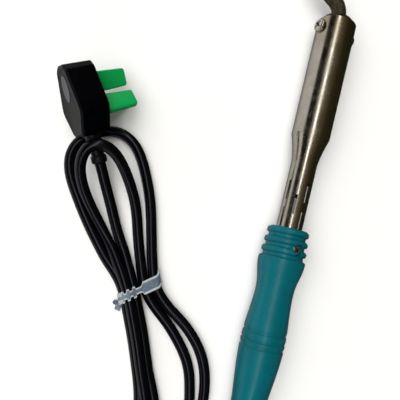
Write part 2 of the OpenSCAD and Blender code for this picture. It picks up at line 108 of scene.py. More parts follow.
def applied(obj, sharp=40):
    """Puts an object's modifiers into its mesh and marks its sharp edges again."""
    evaluated = obj.evaluated_get(bpy.context.evaluated_depsgraph_get())
    bm = bmesh.new()
    bm.from_mesh(evaluated.to_mesh())
    evaluated.to_mesh_clear()
    bmesh.ops.remove_doubles(bm, verts=bm.verts, dist=1e-6)
    bmesh.ops.dissolve_degenerate(bm, edges=bm.edges, dist=1e-7)
    name = obj.name
    old = obj.data
    bpy.data.objects.remove(obj)
    bpy.data.meshes.remove(old)
    return from_bmesh(name, bm, sharp)


def cut_by(obj, cutters, sharp=40, edge=0.0):
    """Cuts the cutters out of obj, and rounds the sharp edges by that many metres."""
    for c in cutters:
        m = obj.modifiers.new("cut", "BOOLEAN")
        m.operation, m.solver, m.object = "DIFFERENCE", "EXACT", c
        c.hide_render = True
    if edge:
        m = obj.modifiers.new("edge", "BEVEL")
        m.width, m.segments, m.limit_method, m.angle_limit = edge, 2, "ANGLE", math.radians(50)
    made = applied(obj, sharp)
    for c in cutters:
        bpy.data.objects.remove(c)
    return made


def frame_of(axis):
    """Two directions square to an axis."""
    axis = Vector(axis).normalized()
    side = axis.cross(Vector((0, 0, 1)) if abs(axis.z) < 0.9 else Vector((1, 0, 0))).normalized()
    return axis, side, side.cross(axis)


def lathe(name, profile, origin, axis, sides=64, sharp=40):
    """A solid turned from [distance, radius] pairs in mm, closed if it starts off the axis."""
    axis, s, t = frame_of(axis)
    verts, rings = [], []
    for d, r in profile:
        centre = Vector(origin) + axis * (d * MM)
        if r < 1e-4:
            rings.append([len(verts)])
            verts.append(centre)
            continue
        rings.append(list(range(len(verts), len(verts) + sides)))
        for k in range(sides):
            a = 2 * math.pi * k / sides
            verts.append(centre + (s * math.cos(a) + t * math.sin(a)) * (r * MM))
    closed = len(rings[0]) > 1
    faces = []
    for i in range(len(rings) - (0 if closed else 1)):
        a, b = rings[i], rings[(i + 1) % len(rings)]
        for k in range(sides):
            m = (k + 1) % sides
            if len(a) == 1:
                faces.append((a[0], b[m], b[k]))
            elif len(b) == 1:
                faces.append((a[k], a[m], b[0]))
            else:
                faces.append((a[k], a[m], b[m], b[k]))
    return finish_mesh(name, verts, faces, sharp)


def inset(outline, by):
    """A closed outline moved inwards, along its corners' own normals."""
    p = np.array(outline, float)
    before, after = np.roll(p, 1, 0), np.roll(p, -1, 0)
    e1, e2 = p - before, after - p
    n1 = np.stack([-e1[:, 1], e1[:, 0]], 1) / np.linalg.norm(e1, axis=1)[:, None]
    n2 = np.stack([-e2[:, 1], e2[:, 0]], 1) / np.linalg.norm(e2, axis=1)[:, None]
    mid = n1 + n2
    mid /= np.maximum((mid * mid).sum(1), 0.4)[:, None] / 2
    area = 0.5 * (p[:, 0] * after[:, 1] - after[:, 0] * p[:, 1]).sum()
    return p + mid * by * (1 if area > 0 else -1)


def rounded(outline, radius, steps=5):
    """A closed outline with its corners rounded off."""
    p = np.array(outline, float)
    out = []
    for i in range(len(p)):
        a, b, c = p[i - 1], p[i], p[(i + 1) % len(p)]
        u, v = (a - b) / np.linalg.norm(a - b), (c - b) / np.linalg.norm(c - b)
        half = math.acos(max(-1, min(1, float(u @ v)))) / 2
        if half > math.radians(88):
            out.append(b)
            continue
        reach = min(radius / math.tan(half), 0.45 * np.linalg.norm(a - b),
                    0.45 * np.linalg.norm(c - b))
        start, end = b + u * reach, b + v * reach
        for k in range(steps + 1):
            t = k / steps
            out.append((1 - t) ** 2 * start + 2 * t * (1 - t) * b + t * t * end)
    return np.array(out)


def loft(name, outline, levels, place, sharp=40, plane="xy"):
    """A solid from an outline in mm: each level says how far it is inset and how high it is."""
    n, verts = len(outline), []
    for by, h in levels:
        for x, y in inset(outline, by):
            local = {"xy": (x, y, h), "xz": (x, h, y)}[plane]
            verts.append(place @ Vector(local))
    faces = [tuple(range(n)), tuple(range(len(verts) - 1, len(verts) - n - 1, -1))]
    for i in range(len(levels) - 1):
        for k in range(n):
            m = (k + 1) % n
            faces.append((i * n + k, i * n + m, (i + 1) * n + m, (i + 1) * n + k))
    return finish_mesh(name, verts, faces, sharp)


def quarter(radius, h0, h1, steps=4):
    """Levels of a slab from h0 to h1 with both its rims rounded."""
    sign = 1 if h1 > h0 else -1
    turn = [(1 - math.cos(math.pi / 2 * k / steps), 1 - math.sin(math.pi / 2 * k / steps))
            for k in range(steps + 1)]
    first = [(radius * (1 - math.sin(math.pi / 2 * k / steps)),
              h0 + sign * radius * (1 - math.cos(math.pi / 2 * k / steps)))
             for k in range(steps + 1)]
    last = [(radius * a, h1 - sign * radius * b) for a, b in turn]
    return first + last


# --- The cord: one line through the tie five times ---

CORD_R = 3.5
LAYER = 6.06                         # rise of a pass that lies in the dip between two others
TIE_AT, HANK_TURN = (-60, 84), math.radians(24)
TIE_T, TIE_LIFT = 1.2, 1.25
LEAD = [(-158, 0, 14.85), (-166, 0, 13.6), (-174, 1, 11.2), (-184, 4, 7.6), (-193, 10, 4.6),
        (-199, 19, 3.6), (-201, 30, 3.5), (-198, 41, 3.5), (-190, 51, 3.5), (-179, 58, 3.5),
        (-166, 63, 3.5), (-153, 65.5, 3.5)]
PLUG_END = [(-6, 116.8, 7.4), (-1, 119.4, 8.6), (4, 121.7, 10.2), (9, 123.8, 12.1),
            (13.5, 125.9, 13.9)]
# Along and across the hank from its tie, and up: each pass, and the turns between them
FLOOR_Z, AT_TIE = CORD_R, CORD_R + TIE_LIFT
HANK = [
    # up the left side to the outer turn under the plug
    (-80, 16.3, 3.5), (-70, 13.9, 3.5), (-54.6, 12.1, 3.5), (-31.6, 10.8, 3.6), (-12, 10.5, 4.5),
    (0, 10.5, AT_TIE), (12, 12.8, 4.4), (34, 21, 3.5), (50, 25.4, 3.5), (67, 28.7, 3.5),
    (84, 30.6, 3.5), (96, 27.8, 3.5), (103, 20.7, 3.5), (106, 10, 3.5), (105.4, -1.5, 3.5),
    (100.4, -10, 3.5), (92.3, -15, 3.5),
    # down the right side to the outer turn at the bottom
    (80, -17.3, 3.5), (56.5, -17.5, 3.5), (32, -13.8, 3.6), (12, -10.9, 4.4),
    (0, -10.5, AT_TIE), (-12, -14.6, 4.4), (-28, -24.3, 3.6), (-42.7, -29.9, 3.5),
    (-53, -31.6, 3.5), (-66, -30.6, 3.5), (-78, -27.2, 3.5), (-89, -22.5, 3.5),
    (-97.5, -15, 3.5), (-101.5, -5.5, 3.5), (-99.5, 4.5, 3.5), (-92.5, 11.2, 3.8), (-83, 11.4, 6.8),
    # up over the left group to the inner turn under the plug
    (-70, 9, 8.3), (-54, 8.6, 9.5), (-31, 7.3, 9.8), (-12, 7, 10.5), (0, 7, AT_TIE + LAYER),
    (10, 8.4, 10.2), (21, 10.9, 7.4), (34, 14, 4.2), (48, 17.8, 5.2), (62, 20.8, 9.4),
    (74.5, 21.6, 15.2), (84.5, 19, 21), (91, 14, 24.9), (93.6, 8.2, 26.6), (92.4, 2.4, 25.8),
    (87.5, -2.6, 22.4),
    # down to the inner turn at the bottom
    (79, -5.8, 16.6), (67.5, -7.4, 10.4), (56, -7.8, 5.6), (44, -6.6, 3.6), (32, -5, 3.5),
    (13, -3.7, 4.4),
    (0, -3.5, AT_TIE), (-12, -7.4, 4.4), (-24.8, -13.4, 3.6), (-37.5, -18, 3.5),
    (-50, -21, 3.5), (-61.6, -21.3, 3.5), (-73, -18.8, 3.5), (-82, -17, 3.5),
    (-89, -11.8, 3.5), (-91.5, -4, 3.5), (-88, 2.4, 3.5), (-80, 5.2, 3.5),
    # up to the plug
    (-70, 4.6, 3.5), (-56, 5, 3.5), (-39, 4.1, 3.6), (-28, 3.6, 3.7), (-12, 3.5, 4.5),
    (0, 3.5, AT_TIE), (12, 4.3, 4.5), (30, 6.4, 4.2), (47, 7.6, 5.2)]


def from_hank(a, b, z):
    c, s = math.cos(HANK_TURN), math.sin(HANK_TURN)
    return (TIE_AT[0] + a * c - b * s, TIE_AT[1] + a * s + b * c, z)


def curve_through(points, step):
    """A smooth line through points, resampled at that step."""
    p = np.array(points, float)
    gaps = np.sqrt(np.linalg.norm(np.diff(p, axis=0), axis=1))
    at = np.concatenate([[0], np.cumsum(gaps)])
    slopes = np.gradient(p, at, axis=0)
    line = []
    for i in range(len(p) - 1):
        h = at[i + 1] - at[i]
        for t in np.linspace(0, 1, 24, endpoint=False):
            line.append((2 * t ** 3 - 3 * t * t + 1) * p[i]
                        + (t ** 3 - 2 * t * t + t) * h * slopes[i]
                        + (3 * t * t - 2 * t ** 3) * p[i + 1]
                        + (t ** 3 - t * t) * h * slopes[i + 1])
    line.append(p[-1])
    return resampled(np.array(line), step)


def resampled(line, step):
    run = np.concatenate([[0], np.cumsum(np.linalg.norm(np.diff(line, axis=0), axis=1))])
    at = np.linspace(0, run[-1], int(round(run[-1] / step)) + 1)
    return np.stack([np.interp(at, run, line[:, k]) for k in range(3)], axis=1)


# Shares taken in each round: of an overlap, of an uneven bend, and of the way back to the route
PUSH_SHARE, EVEN_SHARE, RETURN_SHARE = 0.45, 0.2, 0.01
OWN_REACH = 2.6                      # diameters along the cord that count as one pass
UNDER_TIE = 4                        # mm from the tie's middle where the band is underneath


def settled(line, rounds=260):
    """Pushes a cord's passes apart to a diameter, keeps it on the floor, and evens its bends."""
    p = line.copy()
    n = len(p)
    step = np.linalg.norm(p[1] - p[0])
    far = int(OWN_REACH * CORD_R * 2 / step)
    index = np.arange(n)
    apart = np.abs(index[:, None] - index[None, :]) > far
    held = np.zeros(n, bool)
    held[:3] = held[-3:] = True
    tie_at = np.array(TIE_AT)
    for _ in range(rounds):
        d = p[:, None, :] - p[None, :, :]
        gap = np.sqrt((d * d).sum(2))
        near = apart & (gap < 2 * CORD_R)
        push = np.where(near, (2 * CORD_R - gap) / np.maximum(gap, 1e-6), 0)[:, :, None] * d
        count = np.maximum(near.sum(1), 1)[:, None]
        move = PUSH_SHARE * push.sum(1) / count
        sag = np.zeros_like(p)
        sag[1:-1] = (p[2:] + p[:-2]) / 2 - p[1:-1]
        bend = np.zeros_like(p)
        bend[2:-2] = sag[2:-2] - (sag[3:-1] + sag[1:-3]) / 2
        move += EVEN_SHARE * bend + RETURN_SHARE * (line - p)
        move[held] = 0
        p += move
        under = np.linalg.norm(p[:, :2] - tie_at, axis=1) < UNDER_TIE
        raised = under & (np.abs(p[:, 2] - AT_TIE) < CORD_R)
        p[raised, 2] = np.maximum(p[raised, 2], AT_TIE)
        p[:, 2] = np.maximum(p[:, 2], FLOOR_Z)
    return p


def transported(line):
    """Two directions square to a line at each of its points, with no twist."""
    tangent = np.gradient(line, axis=0)
    tangent /= np.linalg.norm(tangent, axis=1)[:, None]
    side = np.zeros_like(line)
    side[0] = np.cross(tangent[0], [0, 0, 1])
    side[0] /= np.linalg.norm(side[0])
    for i in range(1, len(line)):
        s = side[i - 1] - tangent[i] * (side[i - 1] @ tangent[i])
        side[i] = s / np.linalg.norm(s)
    return tangent, side, np.cross(tangent, side)


def tube(name, line, radius, sides=24):
    """A closed round tube along a line in metres, with its run and its turn as UV."""
    _, s, t = transported(line)
    verts, uv, faces, n = [], [], [], len(line)
    run = np.concatenate([[0], np.cumsum(np.linalg.norm(np.diff(line, axis=0), axis=1))])
    for i in range(n):
        for k in range(sides):
            a = 2 * math.pi * k / sides
            verts.append(line[i] + radius * (math.cos(a) * s[i] + math.sin(a) * t[i]))
            uv.append((k / sides, run[i] * 20))
    for i in range(n - 1):
        for k in range(sides):
            m = (k + 1) % sides
            faces.append((i * sides + k, i * sides + m,
                          (i + 1) * sides + m, (i + 1) * sides + k))
    faces += [tuple(range(sides)), tuple(range(n * sides - 1, (n - 1) * sides - 1, -1))]
    return finish_mesh(name, verts, faces, 60, uv)


route = LEAD + [from_hank(*p) for p in HANK] + PLUG_END
cord_mm = settled(curve_through(route, 3.0))
cord_line = resampled(cord_mm, 2.0) * MM + np.array(spot(0, 0, 0))
cord = tube("cord", cord_line, CORD_R * MM)
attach(cord, "iron")
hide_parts("cord_lead", "cord_hank", "cord_plug_end")


# --- Cable tie: a flat band that ends in a toothed strap, round the five passes ---

def to_row(a, b, z):
    return spot(*from_hank(a, b, z))


def hull_path(centres, radius, step):
    """The taut line round circles, as points and outward normals in the (b, z) plane."""
    angles = np.linspace(0, 2 * math.pi, 721)[:-1]
    best = []
    for t in angles:
        d = np.array([math.cos(t), math.sin(t)])
        c = max(centres, key=lambda q: q[0] * d[0] + q[1] * d[1])
        best.append(np.array(c) + radius * d)
    closed = np.array(best + [best[0]])
    run = np.concatenate([[0], np.cumsum(np.linalg.norm(np.diff(closed, axis=0), axis=1))])
    at = np.linspace(0, run[-1], int(run[-1] / step) + 1)[:-1]
    p = np.stack([np.interp(at, run, closed[:, k]) for k in range(2)], 1)
    for _ in range(6):
        p = (np.roll(p, 1, 0) + 2 * p + np.roll(p, -1, 0)) / 4
    tangent = np.roll(p, -1, 0) - np.roll(p, 1, 0)
    tangent /= np.linalg.norm(tangent, axis=1)[:, None]
    return at, p, np.stack([tangent[:, 1], -tangent[:, 0]], 1), run[-1]


STRANDS = [(10.5, AT_TIE), (3.5, AT_TIE), (-3.5, AT_TIE), (-10.5, AT_TIE), (7, AT_TIE + LAYER)]
TIE_TILT = 0.24                      # along the hank for each mm across it
TOOTH_PITCH, TOOTH_OUT, STRAP_HALF, BAND_HALF = 4.1, 1.75, 2.0, 4.3
NECK_B, BAND_LEN = -1.8, 25          # where the band starts across the hank, and its length
RIM, SUNK, NEAR_FLOOR = 0.3, 0.3, 0.02   # rounded edge, sunk middle, lowest place of a corner
TAIL_STEP, TAIL_HALF_T = 0.25, 0.55  # the free end's steps along it, and half its thickness


def smooth(t):
    t = min(1.0, max(0.0, t))
    return t * t * (3 - 2 * t)


def tie_piece():
    """The band and toothed strap, and the numbers of the faces in its sunk middle."""
    at, p, normal, total = hull_path(STRANDS, CORD_R + TIE_T / 2 + 0.03, 0.25)
    below = p[:, 1] < 8
    top = int(np.argmin(np.abs(p[:, 0] - NECK_B) + 100 * below))
    verts, faces = [], []
    rows = 12
    for i in range(len(p)):
        # run from the neck between band and strap, across the band, and all the way round
        s = (at[i] - at[top]) % total
        band = smooth(s / 2.6) * smooth((BAND_LEN - s) / 5)
        phase = ((s - BAND_LEN) / TOOTH_PITCH) % 1
        tooth = smooth((0.23 - abs(phase - 0.5)) / 0.14 + 0.5) * (1 - band)
        tooth *= smooth((total - s - 1.2) / 0.8)
        half = STRAP_HALF + TOOTH_OUT * tooth + (BAND_HALF - STRAP_HALF) * band
        thick = TIE_T / 2 * (1 - 0.15 * tooth)
        b, z = p[i]
        slant = -TIE_TILT * b + (5 * smooth((s - 11) / 9) * smooth((48 - s) / 20))
        lip = 0.75 + 0.35 * band
        section = [(-half, -thick + RIM), (-half + RIM, -thick), (half - RIM, -thick),
                   (half, -thick + RIM), (half, thick - RIM), (half - RIM, thick),
                   (half - lip, thick), (half - lip - SUNK, thick - SUNK),
                   (lip + SUNK - half, thick - SUNK), (lip - half, thick),
                   (-half + RIM, thick), (-half, thick - RIM)]
        for a, h in section:
            q = p[i] + normal[i] * h
            verts.append(to_row(a + slant, q[0], max(q[1], NEAR_FLOOR)))
    n = len(p)
    for i in range(n):
        j = (i + 1) % n
        for k in range(rows):
            m = (k + 1) % rows
            faces.append((i * rows + k, i * rows + m, j * rows + m, j * rows + k))
    made = finish_mesh("hank_tie", verts, faces, 35)
    return made, {i * rows + 7 for i in range(n)}


def tie_tail():
    """The strap's free end: it comes down beside the bundle on the left, onto the floor."""
    verts, faces, rows = [], [], 8
    points = [(-3.8, 17.2, 3.4), (-5.2, 17.3, 1.9), (-7, 17.2, 1.0), (-9, 17, 0.66),
              (-11.4, 16.6, 0.64)]
    line = curve_through(points, TAIL_STEP)
    tangent = np.gradient(line, axis=0)
    tangent /= np.linalg.norm(tangent, axis=1)[:, None]
    for i, c in enumerate(line):
        phase = (i * TAIL_STEP / TOOTH_PITCH) % 1
        tooth = smooth((0.23 - abs(phase - 0.5)) / 0.14 + 0.5)
        end = math.sqrt(max(0.04, min(1, (len(line) - 1 - i) * TAIL_STEP / 1.6)))
        half = (1.1 + 1.0 * tooth) * end
        across = np.cross(tangent[i], [0, 0, 1])
        across /= np.linalg.norm(across)
        up = np.cross(across, tangent[i])
        rim = min(0.25, half * 0.3)
        thick = TAIL_HALF_T
        for a, h in [(-half, -thick + rim), (-half + rim, -thick), (half - rim, -thick),
                     (half, -thick + rim), (half, thick - rim), (half - rim, thick),
                     (-half + rim, thick), (-half, thick - rim)]:
            q = c + across * a + up * h
            verts.append(to_row(q[0], q[1], max(q[2], NEAR_FLOOR)))
    for i in range(len(line) - 1):
        for k in range(rows):
            m = (k + 1) % rows
            faces.append((i * rows + k, i * rows + m, (i + 1) * rows + m, (i + 1) * rows + k))
    last = (len(line) - 1) * rows
    faces += [tuple(range(rows)), tuple(range(last + rows - 1, last - 1, -1))]
    return finish_mesh("hank_tie_tail", verts, faces, 35)


tie, tie_middle = tie_piece()
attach(tie, "iron")
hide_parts("cable_tie")
tail = tie_tail()
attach(tail, "iron")


# --- Plug: x towards the cord, y along the pins, z across ---

PLUG_AT, PLUG_TURN = (47, 141.5, 26.6), [math.radians(a) for a in (-30, 19, 205)]
PLUG_L, PLUG_T, PLUG_W = 42, 18.5, 33
PIN_W, PIN_T, PIN_LEN, PIN_INSIDE = 6.4, 1.6, 17.5, 8
COVER_LEN, COVER_GAP, COVER_BASE, COVER_TIP, COVER_T = 21, 0.3, 12.4, 10.4, 4.2
PINS = {"earth": (-8.5, 0, 0), "live": (5, -6.9, 30), "neutral": (5, 6.9, -30)}
PLUG = (Matrix.Translation(spot(*PLUG_AT)) @ Matrix.Rotation(PLUG_TURN[2], 4, "Z")
        @ Matrix.Rotation(PLUG_TURN[1], 4, "Y") @ Matrix.Rotation(PLUG_TURN[0], 4, "X")
        @ Matrix.Scale(MM, 4))


def at_pin(name):
    x, z, turn = PINS[name]
    return PLUG @ Matrix.Translation((x, 0, z)) @ Matrix.Rotation(math.radians(turn), 4, "Y")


half_l, half_w = PLUG_L / 2, PLUG_W / 2
plug_plan = [(-half_l, -5), (-half_l + 3, -8.5), (PLUG_L * 0.03, -half_w + 1),
             (PLUG_L * 0.13, -half_w), (PLUG_L * 0.22, -half_w + 1.5), (half_l, -7.8),
             (half_l, 7.8), (PLUG_L * 0.22, half_w - 1.5), (PLUG_L * 0.13, half_w),
             (PLUG_L * 0.03, half_w - 1), (-half_l + 3, 8.5), (-half_l, 5)]
plan = rounded(plug_plan, 2.2, 5)
top, bottom = PLUG_T / 2, -PLUG_T / 2
RIM_STEPS = 4
levels = quarter(1.0, bottom, top, RIM_STEPS)
panel = [(2.6, bottom + 0.35), (1.9, bottom + 0.3), (1.55, bottom)]     # the sunk back panel
plug = loft("plug_moulding", plan, panel + levels[RIM_STEPS:], PLUG, 32, "xz")
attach(plug, "iron")
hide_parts("plug_body")

OVAL_X, OVAL_A, OVAL_B = -7.5, 7.6, 4.5
oval = [(OVAL_X + OVAL_A * math.cos(a), OVAL_B * math.sin(a))
        for a in np.linspace(0, 2 * math.pi, 49)[:-1]]
plug_oval = loft("plug_oval", oval, [(0, bottom + 0.5), (0, bottom + 0.12), (0.35, bottom),
                                     (1.2, bottom), (1.5, bottom + 0.14)], PLUG, 50, "xz")
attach(plug_oval, "iron")

along = PLUG.to_3x3() @ Vector((1, 0, 0))
boot_from = PLUG @ Vector((half_l + 0.02, 0, 0))
boot = lathe("plug_boot", [(0, 0), (0, 5.2), (1.5, 5.05), (6, 4.6), (12.2, 4.05), (12.9, 4.05),
                           (13.1, 4.5), (13.5, 4.85), (14.2, 5.0), (16.6, 5.0), (17.4, 4.8),
                           (17.9, 4.3), (18, 3.6), (18, 0)], boot_from, along, 48, 50)
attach(boot, "iron")
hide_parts("plug_relief")

plug_pieces = [plug, plug_oval, boot, NODES["plug_bridge"]]
cover_outline = rounded([(-COVER_BASE / 2, 0), (-COVER_TIP / 2, COVER_LEN),
                         (COVER_TIP / 2, COVER_LEN), (COVER_BASE / 2, 0)], 1.9, 6)
for pin in PINS:
    place = at_pin(pin)
    blade = [(-PIN_W / 2, top - PIN_INSIDE), (PIN_W / 2, top - PIN_INSIDE),
             (PIN_W / 2, top + PIN_LEN - 1.2), (PIN_W / 2 - 1, top + PIN_LEN),
             (-PIN_W / 2 + 1, top + PIN_LEN), (-PIN_W / 2, top + PIN_LEN - 1.2)]
    made = loft(f"pin_{pin}_blade", rounded(blade, 0.5, 3), quarter(0.25, -PIN_T / 2, PIN_T / 2, 2),
                place, 30)
    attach(made, "iron")
    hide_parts(f"pin_{pin}")
    plug_pieces.append(made)
    lift = place @ Matrix.Translation((0, top + COVER_GAP, 0))
    sleeve = loft(f"cover_{pin}_sleeve", cover_outline, quarter(1.15, -COVER_T / 2, COVER_T / 2, 4),
                  lift, 35)
    w, t, deep = PIN_W / 2 + 0.1, PIN_T / 2 + 0.1, PIN_LEN + 0.5 - COVER_GAP
    hole = loft("hole", [(-w, -2), (w, -2), (w, deep), (-w, deep)], [(0, -t), (0, t)], lift)
    sleeve = cut_by(sleeve, [hole], 35)
    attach(sleeve, f"cover_{pin}")
    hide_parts(f"cover_{pin}")
    plug_pieces.append(sleeve)


# --- Iron: the pieces with finer shapes than their CAD solids ---

def turned(name, profile, sides=96, sharp=40):
    return lathe(name, profile, spot(0, 0, AXIS_Z / MM), (1, 0, 0), sides, sharp)


RING_IN, RING_PITCH, RING_DEPTH, RING_HALF = 2.2, 6.1, 1.75, 1.95
RING_D = (26.5, 29.7)
SHOULDER, WAIST, PALM = 20.5, 40.0, 73.4
WAIST_R, PALM_R, TAIL_R, HANDLE_LEN = 12.0, 14.15, 10.4, 128
PALM_GROOVES = (-6.8, -1.6, 2.6)
NECK_BORE, CHAMBER_R, CHAMBER_END_R, RELIEF_BORE = 8.2, 9.6, 8.0, 6.05


def ease(a, b, t):
    return a + (b - a) * (1 - math.cos(math.pi * min(1, max(0, t)))) / 2


def handle_r(s):
    """Radius of the handle at a distance behind its front face."""
    if s < SHOULDER:
        ring = (RING_D[0] + (RING_D[1] - RING_D[0]) * max(0, s - RING_IN) / (3 * RING_PITCH)) / 2
        near = min(abs(s - RING_IN - i * RING_PITCH) for i in range(4)) / RING_HALF
        lip = (1 - near ** 2.6) ** 0.55 if near < 1 else 0
        return ring - RING_DEPTH * (1 - lip)
    if s < WAIST:
        return ease(RING_D[1] / 2, WAIST_R, (s - SHOULDER) / (WAIST - SHOULDER))
    if s < PALM:
        r = ease(WAIST_R, PALM_R, (s - WAIST) / (PALM - WAIST))
    else:
        r = ease(PALM_R, TAIL_R, (s - PALM) / (HANDLE_LEN - 1.6 - PALM))
    groove = min(abs(s - PALM - g) for g in PALM_GROOVES) / 0.85
    return r - 0.65 * (1 - groove ** 2) ** 0.5 if groove < 1 else r


def handle_profile():
    stops = [0.0]
    while stops[-1] < HANDLE_LEN - 1.7:
        s = stops[-1]
        ridge = s < SHOULDER + 0.5
        groove = any(abs(s - PALM - g) < 1.1 for g in PALM_GROOVES)
        stops.append(s + (0.16 if ridge else 0.2 if groove else 1.4))
    outer = [(-s, handle_r(s)) for s in stops]
    end = [(-HANDLE_LEN + 1.6 * (1 - math.sin(a)), TAIL_R - 1.6 * (1 - math.cos(a)))
           for a in np.linspace(0.15, math.pi / 2, 6)]
    inner = [(-HANDLE_LEN, RELIEF_BORE), (-HANDLE_LEN + 12, RELIEF_BORE),
             (-HANDLE_LEN + 12, CHAMBER_END_R), (-HANDLE_LEN + 24, CHAMBER_END_R),
             (-HANDLE_LEN + 28, CHAMBER_R), (-24.05, CHAMBER_R), (-24.05, NECK_BORE),
             (-0.3, NECK_BORE), (0, NECK_BORE + 0.3)]
    return outer + end + inner


def radial(u, angle):
    """A frame at the axis whose z points away from it, at an angle from straight up towards +Y."""
    return (Matrix.Translation(spot(u, 0, AXIS_Z / MM))
            @ Matrix.Rotation(-math.radians(angle), 4, "X") @ Matrix.Scale(MM, 4))


def circle(r, n=40):
    return [(r * math.cos(a), r * math.sin(a)) for a in np.linspace(0, 2 * math.pi, n + 1)[:-1]]


FIXING_U, FIXING_ANGLE, FIXING_SEAT = -12.4, -32, 9.75
RECESS_R, SCREW_HOLE_R = 3.8, 1.55
FIXING = radial(FIXING_U, FIXING_ANGLE)
grip = turned("handle_grip", handle_profile())
sink = loft("sink", circle(RECESS_R), [(0, FIXING_SEAT), (0, 20)], FIXING)
grip = cut_by(grip, [sink], 35)
hole = loft("hole", circle(SCREW_HOLE_R, 24), [(0, 6), (0, 12)], FIXING)
grip = cut_by(grip, [hole], 35)
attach(grip, "iron")
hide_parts("handle")


CROSS_TURN = 0.79                    # the cross stands diagonally to the axis


def cross_cutter(place, size, top_z, depth):
    """The tapering cross of a driver's recess."""
    w, n = size / 2, size / 9
    c, s = math.cos(CROSS_TURN), math.sin(CROSS_TURN)
    plus = [(w, -n), (w, n), (n, n), (n, w), (-n, w), (-n, n), (-w, n), (-w, -n), (-n, -n),
            (-n, -w), (n, -w), (n, -n)]
    verts = []
    for k, z in ((1.12, top_z + 0.4), (0.55, top_z - depth)):
        for x, y in plus:
            verts.append(place @ Vector((x * k * c - y * k * s, x * k * s + y * k * c, z)))
    faces = [tuple(range(12)), tuple(range(23, 11, -1))]
    faces += [(i, (i + 1) % 12, 12 + (i + 1) % 12, 12 + i) for i in range(12)]
    return finish_mesh("cross", verts, faces, 20)


RECESSES = {}                        # the faces inside each screw's cross
CROSS_SHARE = 0.62                   # the cross's size and depth, as a share of the head's


def pan_head(name, place, seat, d, head_d, head_h, shank, body, node):
    """A pan-head screw whose head sits at that distance from the axis."""
    r = head_d / 2
    dome = [(seat + head_h * (0.42 + 0.58 * math.sin(a)), r * (0.38 + 0.62 * math.cos(a) ** 0.8))
            for a in np.linspace(0, math.pi / 2 * 0.98, 9)]
    profile = ([(seat - shank, 0), (seat - shank, d / 2 - 0.4), (seat - shank + 0.4, d / 2),
                (seat, d / 2), (seat, r - 0.25), (seat + 0.25, r)] + dome
               + [(seat + head_h, r * 0.3), (seat + head_h, 0)])
    origin = place @ Vector((0, 0, 0))
    axis = (place.to_3x3() @ Vector((0, 0, 1))).normalized()
    made = lathe(name, profile, origin, axis, 48, 35)
    made = cut_by(made, [cross_cutter(place, head_d * CROSS_SHARE, seat + head_h,
                                      head_h * CROSS_SHARE)], 35)
    RECESSES[name] = []
    for face in made.data.polygons:
        at = place.inverted() @ face.center
        if at.z > seat + 0.3 and at.xy.length < r * CROSS_SHARE and face.normal.dot(axis) < 0.8:
            RECESSES[name].append(face.index)
    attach(made, body)
    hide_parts(node)
    return made


fixing = pan_head("handle_fixing", FIXING, FIXING_SEAT, 3, 6.4, 1.9, 3.1, "iron", "handle_screw")
CLAMP_U, CLAMP_SEAT, CLAMP_SHANK = 126.5, 12.05, 7.49
clamps = [pan_head(f"clamp_{side}_turnscrew", radial(CLAMP_U, angle), CLAMP_SEAT, 4, 8, 2.6,
                   CLAMP_SHANK, f"clamp_screw_{side}", f"clamp_screw_{side}")
          for side, angle in (("left", 60), ("right", 240))]

# Rear strain relief: a tapered, ribbed rubber boot
RELIEF_LEN = 30


def relief_profile():
    outer = [(-HANDLE_LEN - 0.05, 6.6), (-HANDLE_LEN - 0.3, 7.0), (-HANDLE_LEN - 2.6, 7.0),
             (-HANDLE_LEN - 3.0, 6.7), (-HANDLE_LEN - 3.1, 5.95)]
    for s in np.arange(3.3, RELIEF_LEN - 0.9, 0.22):
        r = 5.95 - (5.95 - 4.35) * (s - 3.3) / (RELIEF_LEN - 4.2)
        phase = ((s - 4.0) / 3.4) % 1
        rib = smooth((0.3 - abs(phase - 0.5)) / 0.12 + 0.5)
        gap = 0.75 * (1 - rib) if 4.4 < s < RELIEF_LEN - 3.2 else 0
        outer.append((-HANDLE_LEN - s, r - gap))
    outer += [(-HANDLE_LEN - RELIEF_LEN + 0.3, 4.25), (-HANDLE_LEN - RELIEF_LEN, 3.95),
              (-HANDLE_LEN - RELIEF_LEN, 3.55)]
    inner = [(-HANDLE_LEN + 14.5, 3.55), (-HANDLE_LEN + 14.5, 7.45), (-HANDLE_LEN + 12.05, 7.45),
             (-HANDLE_LEN + 12.05, 6.0), (-HANDLE_LEN - 0.05, 6.0)]
    return outer + inner


relief = turned("rear_boot", relief_profile(), 64, 35)
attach(relief, "iron")
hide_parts("strain_relief")

# Bit: a forged rod, swept along its bend, with a chisel's two flats
BIT_R, BIT_START, BEND_AT, BEND_R, BEND = 4.5, 70, 136.9, 13, math.radians(55)
BIT_STRAIGHT, CHISEL, EDGE = 22, 12, 0.6
SOFT = 0.25                          # how softly the round rod runs into the chisel's flats
DENT_BROAD, DENT_FINE, WORN = 0.07, 0.035, 0.06


def bit_line(s):
    """Centre and heading of the rod at a distance past the start of its bend."""
    turn = min(max(s / BEND_R, 0), BEND)
    x = BEND_AT + min(s, 0) + BEND_R * math.sin(turn)
    y = BEND_R * (1 - math.cos(turn))
    past = max(0, s - BEND_R * BEND)
    return x + past * math.cos(turn), y + past * math.sin(turn), turn


